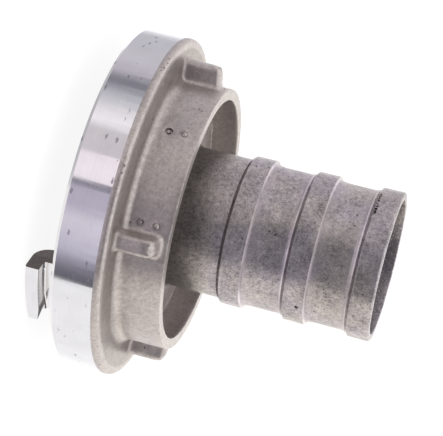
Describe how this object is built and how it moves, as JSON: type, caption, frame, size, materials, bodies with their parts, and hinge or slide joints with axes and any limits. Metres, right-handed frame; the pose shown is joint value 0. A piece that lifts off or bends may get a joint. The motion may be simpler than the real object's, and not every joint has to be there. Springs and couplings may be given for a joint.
{
  "type": "twist-lock lug hose coupling",
  "caption": "Aluminium twist-lock lug coupling half with a swivelling banded hose tail, for fire, water and suction hose.",
  "frame": {"origin": "on the coupling's axis, in the plane of the lug tips that it stands on", "axes": "+Z along the axis from the lug tips to the hose tail, +X through the middle of one lug"},
  "size_m": [0.0984, 0.0984, 0.0913],
  "materials": {
    "ring_casting": "cast aluminium, rim and hooks turned bright",
    "tail_casting": "sand-cast aluminium, mottled grey",
    "spring_wire": "drawn spring wire",
    "seal_rubber": "matte black nitrile rubber"
  },
  "bodies": {
    "ring": {"lug_ring": "ring_casting", "snap_ring": "spring_wire"},
    "tail": {"hose_tail": "tail_casting", "seal_ring": "seal_rubber"}
  },
  "joints": [
    {"name": "swivel", "type": "hinge", "parent": "ring", "child": "tail", "pos_m": [0, 0, 0.026], "axis": [0, 0, 1], "continuous": true}
  ]
}
